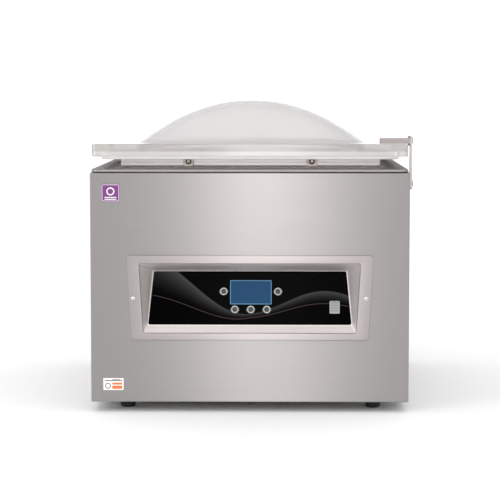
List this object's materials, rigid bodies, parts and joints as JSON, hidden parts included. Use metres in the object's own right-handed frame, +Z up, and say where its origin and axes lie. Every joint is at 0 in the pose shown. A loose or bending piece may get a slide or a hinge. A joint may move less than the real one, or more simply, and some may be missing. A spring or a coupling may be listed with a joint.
{
  "type": "vacuum packing machine",
  "caption": "Table-top chamber vacuum packer: steel cabinet with a slanted control panel, and a clear domed lid hinged at the back over a chamber with a lifting seal bar.",
  "frame": {"origin": "on the ground under the middle of the machine's bounding box", "axes": "+X to the right of a person facing the machine, +Y from its front to its back, +Z up"},
  "size_m": [0.521, 0.5823, 0.4984],
  "materials": {
    "brushed_steel": "fine horizontal brushing",
    "satin_steel": "satin, slightly warm",
    "zinc_steel": "dull bright zinc",
    "rubber": "matt moulded rubber",
    "black_plastic": "fine moulded texture",
    "aluminium": "satin extruded",
    "tape": "woven glass tape with a smooth coating",
    "black_gloss": "high gloss",
    "display": "glossy, backlit",
    "button": "satin plated ring with a dark centre",
    "board": "solder-resist sheen",
    "badge": "printed foil",
    "label": "printed sticker",
    "clear_acrylic": "clear, polished, faintly white",
    "silicone": "matt translucent white silicone",
    "spring": "drawn wire",
    "cast_iron": "painted casting",
    "cast_alloy": "painted die casting",
    "sight_glass": "clear with oil behind it",
    "hose": "matt",
    "transformer": "varnished windings on a laminated core"
  },
  "bodies": {
    "cabinet": {"front_panel": "brushed_steel", "left_side_panel": "brushed_steel", "right_side_panel": "brushed_steel", "rear_panel": "brushed_steel", "base_plate": "zinc_steel", "deck_plate": "satin_steel", "foot_front_left": "rubber", "foot_rear_left": "rubber", "foot_front_right": "rubber", "foot_rear_right": "rubber", "chamber_tank": "satin_steel", "suction_port_cap": "satin_steel", "lift_cylinder_left": "black_plastic", "lift_cylinder_right": "black_plastic", "control_bezel": "satin_steel", "bezel_screw_left": "zinc_steel", "bezel_screw_right": "zinc_steel", "control_panel": "black_gloss", "display_window": "display", "panel_badge": "aluminium", "control_board": "board", "front_badge": "badge", "info_label": "label", "latch_stud": "zinc_steel", "hinge_bracket_left": "satin_steel", "hinge_pin_left": "zinc_steel", "lid_spring_left": "spring", "hinge_bracket_right": "satin_steel", "hinge_pin_right": "zinc_steel", "lid_spring_right": "spring", "power_inlet": "black_plastic", "switch_frame": "black_plastic", "pump_body": "cast_iron", "oil_tank": "cast_alloy", "oil_sight_glass": "sight_glass", "motor_housing": "cast_alloy", "fan_cover": "black_plastic", "valve_block": "aluminium", "vacuum_hose": "hose", "seal_transformer": "transformer"},
    "lid": {"lid_dome": "clear_acrylic", "lid_gasket": "silicone", "counter_bar": "aluminium", "counter_bar_silicone": "silicone", "counter_bar_holder_left": "zinc_steel", "counter_bar_holder_right": "zinc_steel", "hinge_arm_left": "satin_steel", "hinge_arm_right": "satin_steel", "latch_bracket": "satin_steel"},
    "latch": {"latch_strap": "brushed_steel"},
    "seal_bar": {"seal_bar": "aluminium", "heating_band": "tape"},
    "power_switch": {"power_switch": "black_plastic"},
    "motor_rotor": {"motor_rotor": "zinc_steel"},
    "button_left": {"button_left": "button"},
    "button_right": {"button_right": "button"},
    "button_lower_left": {"button_lower_left": "button"},
    "button_lower_centre": {"button_lower_centre": "button"},
    "button_lower_right": {"button_lower_right": "button"}
  },
  "joints": [
    {"name": "lid_hinge", "type": "hinge", "parent": "cabinet", "child": "lid", "pos_m": [-0.00545, 0.27735, 0.404], "axis": [-1, 0, 0], "range_deg": [-1.5, 60]},
    {"name": "latch_swing", "type": "hinge", "parent": "lid", "child": "latch", "pos_m": [0.25615, -0.20853, 0.43403], "axis": [-1, 0, 0], "range_deg": [-7, 100]},
    {"name": "seal_bar_lift", "type": "slide", "parent": "cabinet", "child": "seal_bar", "axis": [0, 0, 1], "range_m": [0, 0.007]},
    {"name": "power_switch_rock", "type": "hinge", "parent": "cabinet", "child": "power_switch", "pos_m": [-0.15145, 0.28085, 0.072], "axis": [-1, 0, 0], "range_deg": [0, 16]},
    {"name": "motor_spin", "type": "hinge", "parent": "cabinet", "child": "motor_rotor", "pos_m": [0.06055, 0.04085, 0.118], "axis": [1, 0, 0], "continuous": true},
    {"name": "button_left_press", "type": "slide", "parent": "cabinet", "child": "button_left", "axis": [0, 0.9592, -0.2828], "range_m": [0, 0.0012], "stiffness_N_per_m": 500, "springref_m": -0.001},
    {"name": "button_right_press", "type": "slide", "parent": "cabinet", "child": "button_right", "axis": [0, 0.9592, -0.2828], "range_m": [0, 0.0012], "stiffness_N_per_m": 500, "springref_m": -0.001},
    {"name": "button_lower_left_press", "type": "slide", "parent": "cabinet", "child": "button_lower_left", "axis": [0, 0.9592, -0.2828], "range_m": [0, 0.0012], "stiffness_N_per_m": 500, "springref_m": -0.001},
    {"name": "button_lower_centre_press", "type": "slide", "parent": "cabinet", "child": "button_lower_centre", "axis": [0, 0.9592, -0.2828], "range_m": [0, 0.0012], "stiffness_N_per_m": 500, "springref_m": -0.001},
    {"name": "button_lower_right_press", "type": "slide", "parent": "cabinet", "child": "button_lower_right", "axis": [0, 0.9592, -0.2828], "range_m": [0, 0.0012], "stiffness_N_per_m": 500, "springref_m": -0.001}
  ]
}
